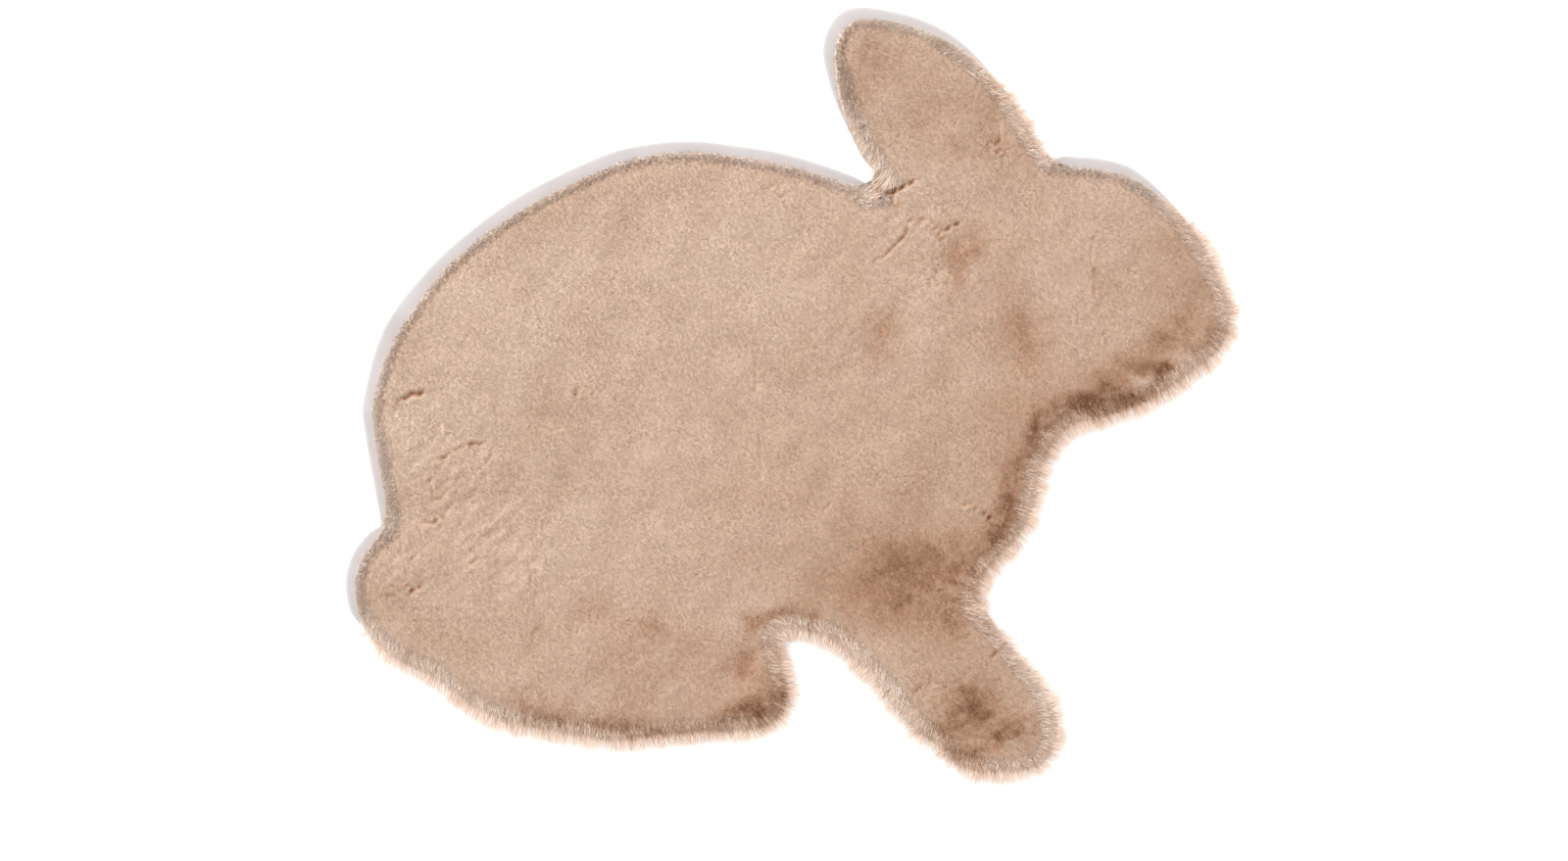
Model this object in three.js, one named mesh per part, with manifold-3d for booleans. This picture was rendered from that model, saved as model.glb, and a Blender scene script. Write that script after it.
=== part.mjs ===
// A plush rug for a child's room, cut to the outline of a sitting rabbit that looks to the right.
// Units are millimetres, with +Z up. The rug lies flat, nose towards +X and ear towards +Y, and
// the origin is on the floor in the middle of its outline's box.
// It has two plies: a thin pale backing sheet, and the fur above it, whose pile leans to the lower
// right. So the pile hangs over the backing's edge there, and leaves a rim of backing bare along
// the rabbit's back, its tail and the upper edges of its ear and head.

import * as THREE from 'three';
import { mergeVertices } from 'three/addons/utils/BufferGeometryUtils.js';
import Module from 'manifold-3d';

const wasm = await Module();
wasm.setup();

// Driving dimensions
const RUG_LENGTH = 900; // tail to nose, over the pile
const BACKING_THICKNESS = 2;
const PLY_GAP = 0.3; // air between the backing and the fur, so that the two solids never touch
const PILE_TOP = 20; // top of the pile above the floor, on its level parts

// How the pile leans and how far it reaches past the backing's edge
const NAP = new THREE.Vector2(0.6, -0.8); // the way the tips lean, seen from above
const DENSE_INSET = 13; // the dense fur ends this far inside the outer reach of its locks
const BACKING_INSET = 20; // the backing ends this far inside it, where the pile leans out over it

// The rim of the dense fur rises from the ground cloth to the top in a quarter round
const SHOULDER_WIDTH = 14;
const SHOULDER_STEPS = 3;
const SHOULDER_RISE = 2; // the quarter round ends this far above the level pile
const HIGHEST_LUMP = 8; // no lump of the pile rises further above it
const RIM_HEIGHT = 6.8; // upright part of the rim, which the locks grow out of
const FUR_UNDERSIDE = BACKING_THICKNESS + PLY_GAP;

// Spacing of points and facets
const OUTLINE_POINTS = 206;
const TOP_FACET = 22;
const MERGE_DISTANCE = 1e-4; // points closer than this are one

// Locks at the rim of the fur
const LOCK_WIDTH = 12;
const LOCK_HEIGHT = 6;
const LOCK_ROOT_DEPTH = 5; // how deep a lock is rooted in the dense fur
const LOCK_ROOT_LIFT = 0.5; // height of its root over the fur's underside
const LOCK_SHORTEST = 5; // where the pile leans away from the edge
const LOCK_LONGEST = 13; // where it leans out over the edge
const LOCK_KNEE = 0.4; // share of its length after which it lies level
const LOCK_KNEE_WIDTH = 0.85; // shares of its width and height there
const LOCK_KNEE_HEIGHT = 0.75;
const LOCK_TIP_WIDTH = 0.28; // share of its width at its tip
const LOCK_TIP_HEIGHT = 1.2;
const LOCK_LEAN = 0.7; // pull of the nap on its heading, next to that of the edge
const LOCK_SWAY = 0.3; // turn to either side, in radians
const LOCK_UNEVENNESS = 0.2; // share of the length by which locks differ
const SWAY_STEP = 2.4; // radians of sway and of length from a lock to its neighbour
const LENGTH_STEP = 4.1;

// Grooves in the pile
const PARTING_STEPS = 4;
const PARTING_END = 0.12; // share of a groove's depth and width that is left at its ends
const CUTTER_LID = 3; // how far a groove's cutter stands out of the pile

// The rabbit's outline over the tips of its pile, counter-clockwise, for a rug 900 mm long.
// Each stretch is one smooth curve, and two stretches meet in a corner.
const OUTLINE_LENGTH = 900;
const OUTLINE = {
  back: [
    [86, 208], [70, 218], [32, 232], [-7, 243], [-47, 250], [-106, 256], [-165, 249],
    [-205, 235], [-244, 217], [-283, 195], [-323, 166], [-362, 131], [-402, 82], [-419, 46],
    [-430, 3], [-433, -22], [-429, -56], [-422, -96], [-415, -133],
  ],
  tailAndBelly: [
    [-415, -133], [-426, -140], [-440, -157], [-448, -177], [-450, -197], [-446, -224],
    [-435, -245], [-417, -264], [-397, -278], [-372, -289], [-348, -306], [-323, -325],
    [-293, -339], [-254, -347], [-214, -353], [-185, -358], [-155, -357], [-106, -351],
    [-57, -349], [-22, -343], [-2, -327], [7, -301], [3, -278], [-4, -255], [-5, -245],
  ],
  foreleg: [
    [-5, -245], [17, -248], [42, -258], [71, -284], [96, -315], [121, -345], [141, -359],
    [158, -379], [180, -388], [210, -390], [234, -389], [257, -379], [271, -364], [276, -337],
    [271, -311], [257, -283], [234, -254], [210, -224], [193, -208],
  ],
  chestAndHead: [
    [193, -208], [202, -187], [224, -163], [245, -140], [255, -110], [258, -86], [268, -62],
    [284, -42], [313, -33], [348, -22], [382, -5], [412, 15], [436, 36], [449, 62], [450, 90],
    [440, 118], [426, 150], [407, 178], [380, 206], [348, 228], [313, 238], [288, 240],
    [268, 242],
  ],
  ear: [
    [268, 242], [249, 268], [229, 301], [205, 332], [175, 358], [140, 376], [106, 386],
    [71, 391], [50, 385], [36, 366], [32, 340], [37, 311], [46, 282], [59, 252], [71, 228],
    [86, 208],
  ],
};

// Soft mounds and hollows of the pile: middle, half-widths along and across, turn in degrees from
// +X, and rise in millimetres.
const FORMS = [
  { name: 'haunch', x: -250, y: 20, along: 190, across: 130, turn: 35, rise: 1.6 },
  { name: 'shoulder', x: 120, y: -60, along: 130, across: 90, turn: -60, rise: 1.2 },
  { name: 'cheek', x: 290, y: 90, along: 90, across: 70, turn: 20, rise: 1.4 },
  { name: 'ear middle', x: 140, y: 280, along: 90, across: 50, turn: 115, rise: 0.9 },
  { name: 'hollow behind the ear', x: 175, y: 150, along: 42, across: 24, turn: 60, rise: -2.2 },
  { name: 'hollow in the neck', x: 92, y: 60, along: 48, across: 30, turn: 40, rise: -1.8 },
  { name: 'hollow in the throat', x: 232, y: 50, along: 40, across: 24, turn: 70, rise: -2 },
  { name: 'chest hollow', x: 140, y: -160, along: 80, across: 52, turn: 35, rise: -2.4 },
  { name: 'belly hollow', x: -140, y: -235, along: 90, across: 34, turn: -8, rise: -1.6 },
  { name: 'hollow by the tail', x: -330, y: -150, along: 80, across: 40, turn: -35, rise: -1.4 },
  { name: 'tail middle', x: -390, y: -190, along: 40, across: 34, turn: 0, rise: 1.1 },
  { name: 'paw top', x: 200, y: -300, along: 60, across: 40, turn: -50, rise: 1 },
  { name: 'foot hollow', x: -55, y: -275, along: 34, across: 18, turn: 45, rise: -2.6 },
];

// Slow unevenness of the whole pile
const SWELLS = [
  { length: 118, turn: 20, rise: 0.8 },
  { length: 83, turn: 100, rise: 0.7 },
  { length: 61, turn: 155, rise: 0.6 },
];

// Partings, where the pile opens in a narrow groove along a route
const PARTINGS = [
  { name: 'ear root', width: 14, depth: 7, route: [[88, 203], [103, 201], [116, 208], [132, 218]] },
  { name: 'below ear', width: 11, depth: 4, route: [[103, 200], [114, 180], [104, 152], [84, 138]] },
  { name: 'behind ear', width: 10, depth: 4, route: [[118, 182], [136, 172], [150, 162], [160, 176]] },
  { name: 'cheek line', width: 10, depth: 3.5, route: [[304, 160], [306, 128], [309, 95], [314, 62]] },
  { name: 'ear side', width: 8, depth: 3, route: [[208, 276], [210, 262], [206, 246]] },
  { name: 'rump', width: 11, depth: 4, route: [[-398, -17], [-397, 0], [-383, 2], [-370, 6]] },
  { name: 'flank', width: 10, depth: 4, route: [[-392, -128], [-372, -130], [-356, -126], [-346, -112]] },
  { name: 'tail', width: 11, depth: 4, route: [[-400, -200], [-385, -200], [-372, -192]] },
  { name: 'foreleg', width: 11, depth: 5, route: [[186, -268], [205, -256], [222, -242]] },
  { name: 'chest', width: 11, depth: 4, route: [[172, -112], [188, -116], [204, -124]] },
];

const scale = RUG_LENGTH / OUTLINE_LENGTH;

// Outline helpers: a rim is a closed loop of points

function scaledCurve(places) {
  return new THREE.SplineCurve(places.map(([x, y]) => new THREE.Vector2(x, y).multiplyScalar(scale)));
}

function smoothedOutline() {
  const path = new THREE.CurvePath();
  for (const stretch of Object.values(OUTLINE)) path.add(scaledCurve(stretch));
  return path.getSpacedPoints(OUTLINE_POINTS).slice(0, -1);
}

function outwardNormals(points) {
  return points.map((point, i) => {
    const before = points.at(i - 1);
    const after = points[(i + 1) % points.length];
    return new THREE.Vector2(after.y - before.y, before.x - after.x).normalize();
  });
}

// Moves every point outwards by its own distance, which is blended with that of its neighbours.
function offsetRim(points, distanceAt) {
  const normals = outwardNormals(points);
  const distances = normals.map(distanceAt);
  return points.map((point, i) => {
    const before = distances.at(i - 1);
    const after = distances[(i + 1) % points.length];
    return point.clone().addScaledVector(normals[i], (before + 2 * distances[i] + after) / 4);
  });
}

// Takes small crossings out of a rim that was moved inwards.
function relaxedRim(points) {
  return points.map((point, i) => {
    const middle = points.at(i - 1).clone().add(points[(i + 1) % points.length]).multiplyScalar(0.5);
    return point.clone().lerp(middle, 0.5);
  });
}

// The share of its full overhang that the pile has where the edge faces a given way
const overhangAt = (outwards) => THREE.MathUtils.smoothstep(outwards.dot(NAP), -0.7, 0.7);

// The share of its full length that a lock has there
const lengthAt = (outwards) => THREE.MathUtils.smoothstep(outwards.dot(NAP), -0.5, 0.6);

// Solids

function solidOf(geometry) {
  const bare = geometry.clone();
  bare.deleteAttribute('normal');
  bare.deleteAttribute('uv');
  const merged = mergeVertices(bare, MERGE_DISTANCE);
  return new wasm.Manifold(
    new wasm.Mesh({
      numProp: 3,
      vertProperties: new Float32Array(merged.attributes.position.array),
      triVerts: new Uint32Array(merged.index.array),
    }),
  );
}

function geometryOf(solid) {
  const mesh = solid.getMesh();
  const geometry = new THREE.BufferGeometry();
  geometry.setAttribute('position', new THREE.BufferAttribute(mesh.vertProperties, 3));
  geometry.setIndex(new THREE.BufferAttribute(mesh.triVerts, 1));
  geometry.computeVertexNormals();
  return geometry;
}

// A closed solid through a row of loops with the same number of points. Each loop runs
// counter-clockwise as seen from the last one, and the first and last are filled.
function loft(loops) {
  const count = loops[0].length;
  const positions = loops.flat().flatMap((point) => [point.x, point.y, point.z]);
  const triangles = [];
  for (let ring = 0; ring < loops.length - 1; ring++) {
    for (let i = 0; i < count; i++) {
      const low = ring * count + i;
      const next = ring * count + ((i + 1) % count);
      triangles.push(low, next, next + count, low, next + count, low + count);
    }
  }
  const top = (loops.length - 1) * count;
  const cap = THREE.ShapeUtils.triangulateShape(flattened(loops[0]), []);
  const topCap = THREE.ShapeUtils.triangulateShape(flattened(loops.at(-1)), []);
  for (const [a, b, c] of cap) triangles.push(a, c, b);
  for (const [a, b, c] of topCap) triangles.push(top + a, top + b, top + c);
  const geometry = new THREE.BufferGeometry();
  geometry.setAttribute('position', new THREE.Float32BufferAttribute(positions, 3));
  geometry.setIndex(triangles);
  return geometry;
}

// The loop's points in its own plane, so that it can be filled.
function flattened(loop) {
  const across = loop[1].clone().sub(loop[0]).normalize();
  const normal = new THREE.Vector3();
  for (let i = 0; i < loop.length; i++) {
    normal.add(loop[i].clone().cross(loop[(i + 1) % loop.length]));
  }
  const up = normal.normalize().clone().cross(across);
  return loop.map((point) => new THREE.Vector2(point.dot(across), point.dot(up)));
}

const atHeight = (rim, z) => rim.map((point) => new THREE.Vector3(point.x, point.y, z));

// Height of the pile's top over a place on the floor
function pileHeight(x, y) {
  let height = PILE_TOP;
  for (const form of FORMS) {
    const turn = THREE.MathUtils.degToRad(form.turn);
    const offset = new THREE.Vector2(x - form.x * scale, y - form.y * scale);
    const place = offset.rotateAround(new THREE.Vector2(), -turn);
    const spread = (place.x / (form.along * scale)) ** 2 + (place.y / (form.across * scale)) ** 2;
    height += form.rise * Math.exp(-spread);
  }
  for (const swell of SWELLS) {
    const turn = THREE.MathUtils.degToRad(swell.turn);
    const travel = x * Math.cos(turn) + y * Math.sin(turn);
    height += swell.rise * Math.sin((2 * Math.PI * travel) / (swell.length * scale));
  }
  return height;
}

// A block under the uneven top of the pile, which reaches down past the fur's underside
function lumpyBlock(rim) {
  const box = new THREE.Box2().setFromPoints(rim).expandByScalar(TOP_FACET);
  const size = box.getSize(new THREE.Vector2());
  const middle = box.getCenter(new THREE.Vector2());
  const geometry = new THREE.BoxGeometry(
    size.x, size.y, 1,
    Math.ceil(size.x / TOP_FACET), Math.ceil(size.y / TOP_FACET), 1,
  );
  geometry.translate(middle.x, middle.y, 0);
  const position = geometry.attributes.position;
  for (let i = 0; i < position.count; i++) {
    const isTop = position.getZ(i) > 0;
    position.setZ(i, isTop ? pileHeight(position.getX(i), position.getY(i)) : -PILE_TOP);
  }
  return solidOf(geometry);
}

// The dense fur without its lumps: an upright rim and a quarter round up to above the highest lump
function roundedBody(rim) {
  const shoulderFoot = FUR_UNDERSIDE + RIM_HEIGHT;
  const loops = [atHeight(rim, FUR_UNDERSIDE), atHeight(rim, shoulderFoot)];
  let ring = rim;
  let inset = 0;
  for (let step = 1; step <= SHOULDER_STEPS; step++) {
    const angle = (Math.PI / 2) * (step / SHOULDER_STEPS);
    const wanted = SHOULDER_WIDTH * (1 - Math.cos(angle));
    const move = wanted - inset;
    ring = relaxedRim(offsetRim(ring, () => -move));
    inset = wanted;
    const rise = (PILE_TOP + SHOULDER_RISE - shoulderFoot) * Math.sin(angle);
    loops.push(atHeight(ring, shoulderFoot + rise));
  }
  loops.push(atHeight(ring, PILE_TOP + HIGHEST_LUMP));
  return solidOf(loft(loops));
}

// A groove cutter: a three-sided spindle that is widest and deepest in the middle of its path
function partingCutter({ width, depth, route }) {
  const path = scaledCurve(route);
  const spread = 1 + CUTTER_LID / depth;
  const loops = [];
  for (let i = 0; i <= PARTING_STEPS; i++) {
    const share = i / PARTING_STEPS;
    const fullness = THREE.MathUtils.lerp(PARTING_END, 1, Math.sin(Math.PI * share));
    const middle = path.getPoint(share);
    const ahead = path.getTangent(share);
    const side = new THREE.Vector2(-ahead.y, ahead.x).multiplyScalar((width / 2) * fullness);
    const height = pileHeight(middle.x, middle.y);
    const lid = height + CUTTER_LID;
    loops.push([
      new THREE.Vector3(middle.x, middle.y, height - depth * fullness),
      new THREE.Vector3(middle.x + side.x * spread, middle.y + side.y * spread, lid),
      new THREE.Vector3(middle.x - side.x * spread, middle.y - side.y * spread, lid),
    ]);
  }
  return solidOf(loft(loops));
}

// A lock of pile at the rim: a three-sided horn with a flat underside. It leaves the dense fur and
// lies down on what is below it, which is the bare rim of the backing or, past that, the floor.
function lock({ root, outwards, length, isOverBacking, number }) {
  const sway = LOCK_SWAY * Math.sin(number * SWAY_STEP);
  const heading = outwards.clone().addScaledVector(NAP, LOCK_LEAN).normalize();
  heading.rotateAround(new THREE.Vector2(), sway);
  const side = new THREE.Vector2(-heading.y, heading.x);
  const reach = length * (1 + LOCK_UNEVENNESS * Math.sin(number * LENGTH_STEP));
  const rootLevel = FUR_UNDERSIDE + LOCK_ROOT_LIFT;
  const rest = isOverBacking ? FUR_UNDERSIDE : 0;
  const sections = [
    { travel: -LOCK_ROOT_DEPTH, width: 1, bottom: rootLevel, top: rootLevel + LOCK_HEIGHT },
    {
      travel: reach * LOCK_KNEE,
      width: LOCK_KNEE_WIDTH,
      bottom: rest,
      top: rootLevel + LOCK_HEIGHT * LOCK_KNEE_HEIGHT,
    },
    { travel: reach, width: LOCK_TIP_WIDTH, bottom: rest, top: rest + LOCK_TIP_HEIGHT },
  ];
  const loops = sections.map(({ travel, width, bottom, top }) => {
    const middle = root.clone().addScaledVector(heading, travel);
    const half = (LOCK_WIDTH / 2) * width;
    return [
      new THREE.Vector3(middle.x + side.x * half, middle.y + side.y * half, bottom),
      new THREE.Vector3(middle.x, middle.y, top),
      new THREE.Vector3(middle.x - side.x * half, middle.y - side.y * half, bottom),
    ];
  });
  return solidOf(loft(loops));
}

// One lock in the middle of each facet of the rim
function rimLocks() {
  return denseRim.map((corner, i) => {
    const ahead = denseRim[(i + 1) % denseRim.length].clone().sub(corner);
    const root = corner.clone().addScaledVector(ahead, 0.5);
    const outwards = new THREE.Vector2(ahead.y, -ahead.x).normalize();
    const length = THREE.MathUtils.lerp(LOCK_SHORTEST, LOCK_LONGEST, lengthAt(outwards));
    const below = root.clone().addScaledVector(outwards, -LOCK_ROOT_DEPTH);
    const isOverBacking = [-1, 0, 1].some((facets) => {
      return isInside(below.clone().addScaledVector(ahead, facets), backingRim);
    });
    return lock({ root, outwards, length, isOverBacking, number: i });
  });
}

function isInside(point, polygon) {
  let inside = false;
  polygon.forEach((corner, i) => {
    const last = polygon.at(i - 1);
    const crosses = corner.y > point.y !== last.y > point.y;
    const crossing = ((last.x - corner.x) * (point.y - corner.y)) / (last.y - corner.y) + corner.x;
    if (crosses && point.x < crossing) inside = !inside;
  });
  return inside;
}

// Pieces

const reachRim = smoothedOutline();
const backingRim = offsetRim(reachRim, (outwards) => -BACKING_INSET * overhangAt(outwards));
const denseRim = relaxedRim(offsetRim(reachRim, () => -DENSE_INSET));

function backingMesh() {
  const geometry = new THREE.ExtrudeGeometry(new THREE.Shape(backingRim), {
    depth: BACKING_THICKNESS,
    bevelEnabled: false,
  });
  const material = new THREE.MeshStandardMaterial({ color: 0xdcd4d3, roughness: 0.9, metalness: 0 });
  const mesh = new THREE.Mesh(geometry, material);
  mesh.name = 'backing';
  return mesh;
}

function pileMesh() {
  let fur = roundedBody(denseRim).intersect(lumpyBlock(denseRim));
  for (const parting of PARTINGS) fur = fur.subtract(partingCutter(parting));
  fur = wasm.Manifold.union([fur, ...rimLocks()]);
  const material = new THREE.MeshStandardMaterial({ color: 0xd0b09a, roughness: 0.95, metalness: 0 });
  const mesh = new THREE.Mesh(geometryOf(fur), material);
  mesh.name = 'pile';
  return mesh;
}

const rug = new THREE.Group();
rug.add(backingMesh(), pileMesh());

// Puts the middle of the whole rug's box over the origin, with its underside on the floor.
const box = new THREE.Box3().setFromObject(rug, true);
const middle = box.getCenter(new THREE.Vector3());
rug.position.set(-middle.x, -middle.y, -box.min.z);

export default rug;
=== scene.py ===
"""A plush rug in the outline of a sitting rabbit, seen from straight above on a pale floor."""

import math
from collections import namedtuple

import bpy
import numpy as np
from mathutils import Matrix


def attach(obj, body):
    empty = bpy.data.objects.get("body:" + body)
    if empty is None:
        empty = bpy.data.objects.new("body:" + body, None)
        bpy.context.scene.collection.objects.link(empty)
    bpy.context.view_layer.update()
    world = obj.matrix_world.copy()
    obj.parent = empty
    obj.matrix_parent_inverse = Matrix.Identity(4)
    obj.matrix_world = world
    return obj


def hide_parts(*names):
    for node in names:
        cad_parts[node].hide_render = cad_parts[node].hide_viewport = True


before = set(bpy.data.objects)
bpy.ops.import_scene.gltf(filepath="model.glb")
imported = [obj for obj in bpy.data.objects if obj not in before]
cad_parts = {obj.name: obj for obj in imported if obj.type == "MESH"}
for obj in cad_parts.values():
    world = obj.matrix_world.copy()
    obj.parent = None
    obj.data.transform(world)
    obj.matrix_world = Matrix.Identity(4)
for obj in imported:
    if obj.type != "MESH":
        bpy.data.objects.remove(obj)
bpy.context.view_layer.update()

# Sizes in millimetres
MM = 0.001
BACKING_THICKNESS = 2.0
BACKING_ROUNDING = 0.5  # of its cut edges
BACKING_BORDER = 3.0  # width of its border, painted paler as painted light at the cut edge
BACKING_INSET = 20.0  # it ends this far inside the outline where the pile leans out over it
GROUND_LEVEL = 2.4  # underside of the fur cloth
GROUND_THICKNESS = 0.4
BARE_RIM = 11.5  # the fur cloth ends this far inside the outline
PILE_TOP = 20.0  # tips of the pile where it is level
SHOULDER = 15.0  # width over which the pile rises from its rim
STEEP_WIDTH = 8.0  # the steepest part of that, where the pile leans inward
FIELD_STEP = 1.2  # of the fields that are worked out once and then read
FIELD_MARGIN = 8.0

# Directions, seen from above
NAP = np.array([0.6, -0.8])  # the way the pile leans
KEY_SIDE = np.array([-0.7, 0.7])  # the way to the key light

# Shares
BED_SHARE = 0.96  # of the pile's height is packed, and drawn as one surface
INWARD_SHOULDER = 0.45  # of the shoulder's width is left where the pile leans inward
FOLD_SHARE = 0.5  # of the depth of folds and creases shows as shape, the rest as painted shade
CREASE_SPAN = 0.5  # half-width of a crease's dark line, as a share of its width
LEVEL_LEAN = 0.8  # how far the pile leans away from its rim, where 1 is flat
CREASE_LEAN = 1.4  # how hard a crease pushes the pile to both sides
LEAN_TILT = 0.3  # how far its lean turns the way that the pile faces
NORMAL_SPREAD = 0.13  # how much single fibres turn from the way the pile faces

# The short fibres of the pile, in millimetres
TUFT_PITCH = 2.7  # from row to row of the ground cloth
TUFT_SPREAD = 0.38  # of a tuft's fibres, as a share of the pitch
FIBRE_WIDTHS = 0.7, 1.2
FIBRE_TRAVEL = 1.9  # from root to tip, seen from above
RIM_TRAVEL = 4.0  # how much further where the pile leans out over its rim
RIM_THINNING = 0.75  # share of that which the shortest fibres lack
DENSE_BAND = 11.0  # the tufts within this of their rim have more fibres

# The fringe, in millimetres
FRINGE_PITCH = 2.2  # from tuft to tuft
FRINGE_BAND = 14.0  # the fringe grows from the tufts within this of their rim
FUZZ_BAND = 2.5  # the same for the short fuzz, where the pile leans inward
FRINGE_REACH = 21.0  # how much further the fringe reaches than the fuzz
FUZZ_REACH = 2.4
FRINGE_SKEW = 3.6  # most fibres are short and few are long, so the fringe fades outward
FRINGE_LIMIT = 8.0  # how far the longest pass the outline
FRINGE_EDGE = 14.0  # at this depth inside the outline the fringe leaves the pile
FRINGE_WIDTHS = 0.3, 0.55

# Shades run from 0, the depths of the pile, to 1, its palest tips
BED_SHADE = 0.48
ROOT_SHADE = 0.46
TIP_SHADE = 0.62
FRINGE_SHADE = 0.49
FRINGE_DARKNESS = 0.9, 0.3  # share of the pile's tone and painted shade, over the pile and the floor
FRINGE_TONES = 0.06, 0.05  # how much it changes by chance from tuft to tuft and fibre to fibre
TUFT_TONES = 0.03, 0.2  # the same for the pile's tufts, and how much more in a fleck
FIBRE_TONES = 0.04, 0.12  # the same for its fibres
ROW_TONE = 0.014  # the same from row to row of the ground cloth
RIM_LIGHT = 0.45  # painted light: the steep rim, where the pile leans inward, is drawn paler
STREAK_SHADE = 0.09
PINPRICK_SHARE = 0.004  # small pits drawn as painted shade, as one tuft in 250
PINPRICK_PAINTED_SHADE = 0.13
PAINTED_CREASE_SHADE = 0.19  # painted shade along a crease, for each millimetre of its depth
# Painted shade on slopes facing away from the key light, and painted light on those facing it
PAINTED_SLOPE_SHADE = 0.12
FLECK_GAIN = 1.15
FLECK_LIMIT = 0.5  # where patches overlap, their shades add up to no more than this

# The outline over the tips of the pile, counter-clockwise. Each stretch is one smooth curve.
OUTLINE = {
    "back": [
        (86, 208), (70, 218), (32, 232), (-7, 243), (-47, 250), (-106, 256), (-165, 249),
        (-205, 235), (-244, 217), (-283, 195), (-323, 166), (-362, 131), (-402, 82), (-419, 46),
        (-430, 3), (-433, -22), (-429, -56), (-422, -96), (-415, -133),
    ],
    "tail and belly": [
        (-415, -133), (-426, -140), (-440, -157), (-448, -177), (-450, -197), (-446, -224),
        (-435, -245), (-417, -264), (-397, -278), (-372, -289), (-348, -306), (-323, -325),
        (-293, -339), (-254, -347), (-214, -353), (-185, -358), (-155, -357), (-106, -351),
        (-57, -349), (-22, -343), (-2, -327), (7, -301), (3, -278), (-4, -255), (-5, -245),
    ],
    "foreleg": [
        (-5, -245), (17, -248), (42, -258), (71, -284), (96, -315), (121, -345), (141, -359),
        (158, -379), (180, -388), (210, -390), (234, -389), (257, -379), (271, -364), (276, -337),
        (271, -311), (257, -283), (234, -254), (210, -224), (193, -208),
    ],
    "chest and head": [
        (193, -208), (202, -187), (224, -163), (245, -140), (255, -110), (258, -86), (268, -62),
        (284, -42), (313, -33), (348, -22), (382, -5), (412, 15), (436, 36), (449, 62), (450, 90),
        (440, 118), (426, 150), (407, 178), (380, 206), (348, 228), (313, 238), (288, 240),
        (268, 242),
    ],
    "ear": [
        (268, 242), (249, 268), (229, 301), (205, 332), (175, 358), (140, 376), (106, 386),
        (71, 391), (50, 385), (36, 366), (32, 340), (37, 311), (46, 282), (59, 252), (71, 228),
        (86, 208),
    ],
}

Form = namedtuple("Form", "name x y along across turn rise")
Wash = namedtuple("Wash", "name x y along across turn dark")
Patch = namedtuple("Patch", "name x y along across turn dark swing")
Crease = namedtuple("Crease", "name wide deep route")

# Spots where the bare rim is wider, or narrower where negative: middle, half-widths, turn from +X
# in degrees, and by how much
BARE_SPOTS = [
    Form("back", -244, 218, 120, 40, 27, 3.5),
    Form("rump", -400, 84, 50, 34, 55, 6),
    Form("ear tip", 50, 382, 26, 30, 0, 3.5),
    Form("chest", 244, -139, 20, 20, 0, 4),
    Form("muzzle", 412, 15, 24, 20, 30, 4),
    Form("ear notch", 81, 212, 14, 10, 30, -12),
    Form("tail notch", -415, -132, 12, 12, 0, -8),
    Form("leg notch", 192, -208, 14, 12, 0, -5),
    Form("ear joint", 267, 242, 12, 12, 0, -5),
    Form("ear left", 46, 283, 40, 18, -71, -5),
    Form("ear right", 232, 306, 60, 16, -55, -3),
    Form("foreleg left", 80, -298, 66, 22, -46, -6),
]

# Soft mounds and hollows of the pile's top, in the same columns
FORMS = [
    Form("haunch", -250, 20, 190, 130, 35, 1.6),
    Form("shoulder", 120, -60, 130, 90, -60, 1.2),
    Form("cheek", 290, 90, 90, 70, 20, 1.4),
    Form("ear middle", 140, 280, 90, 50, 115, 0.9),
    Form("behind the ear", 175, 150, 42, 24, 60, -2.2),
    Form("neck", 92, 60, 48, 30, 40, -1.8),
    Form("throat", 232, 50, 40, 24, 70, -2.0),
    Form("chest", 140, -160, 80, 52, 35, -2.4),
    Form("belly", -140, -235, 90, 34, -8, -1.6),
    Form("by the tail", -330, -150, 80, 40, -35, -1.4),
    Form("tail middle", -390, -190, 40, 34, 0, 1.1),
    Form("paw top", 200, -300, 60, 40, -50, 1.0),
    Form("foot", -55, -275, 34, 18, 45, -2.6),
]

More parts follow.
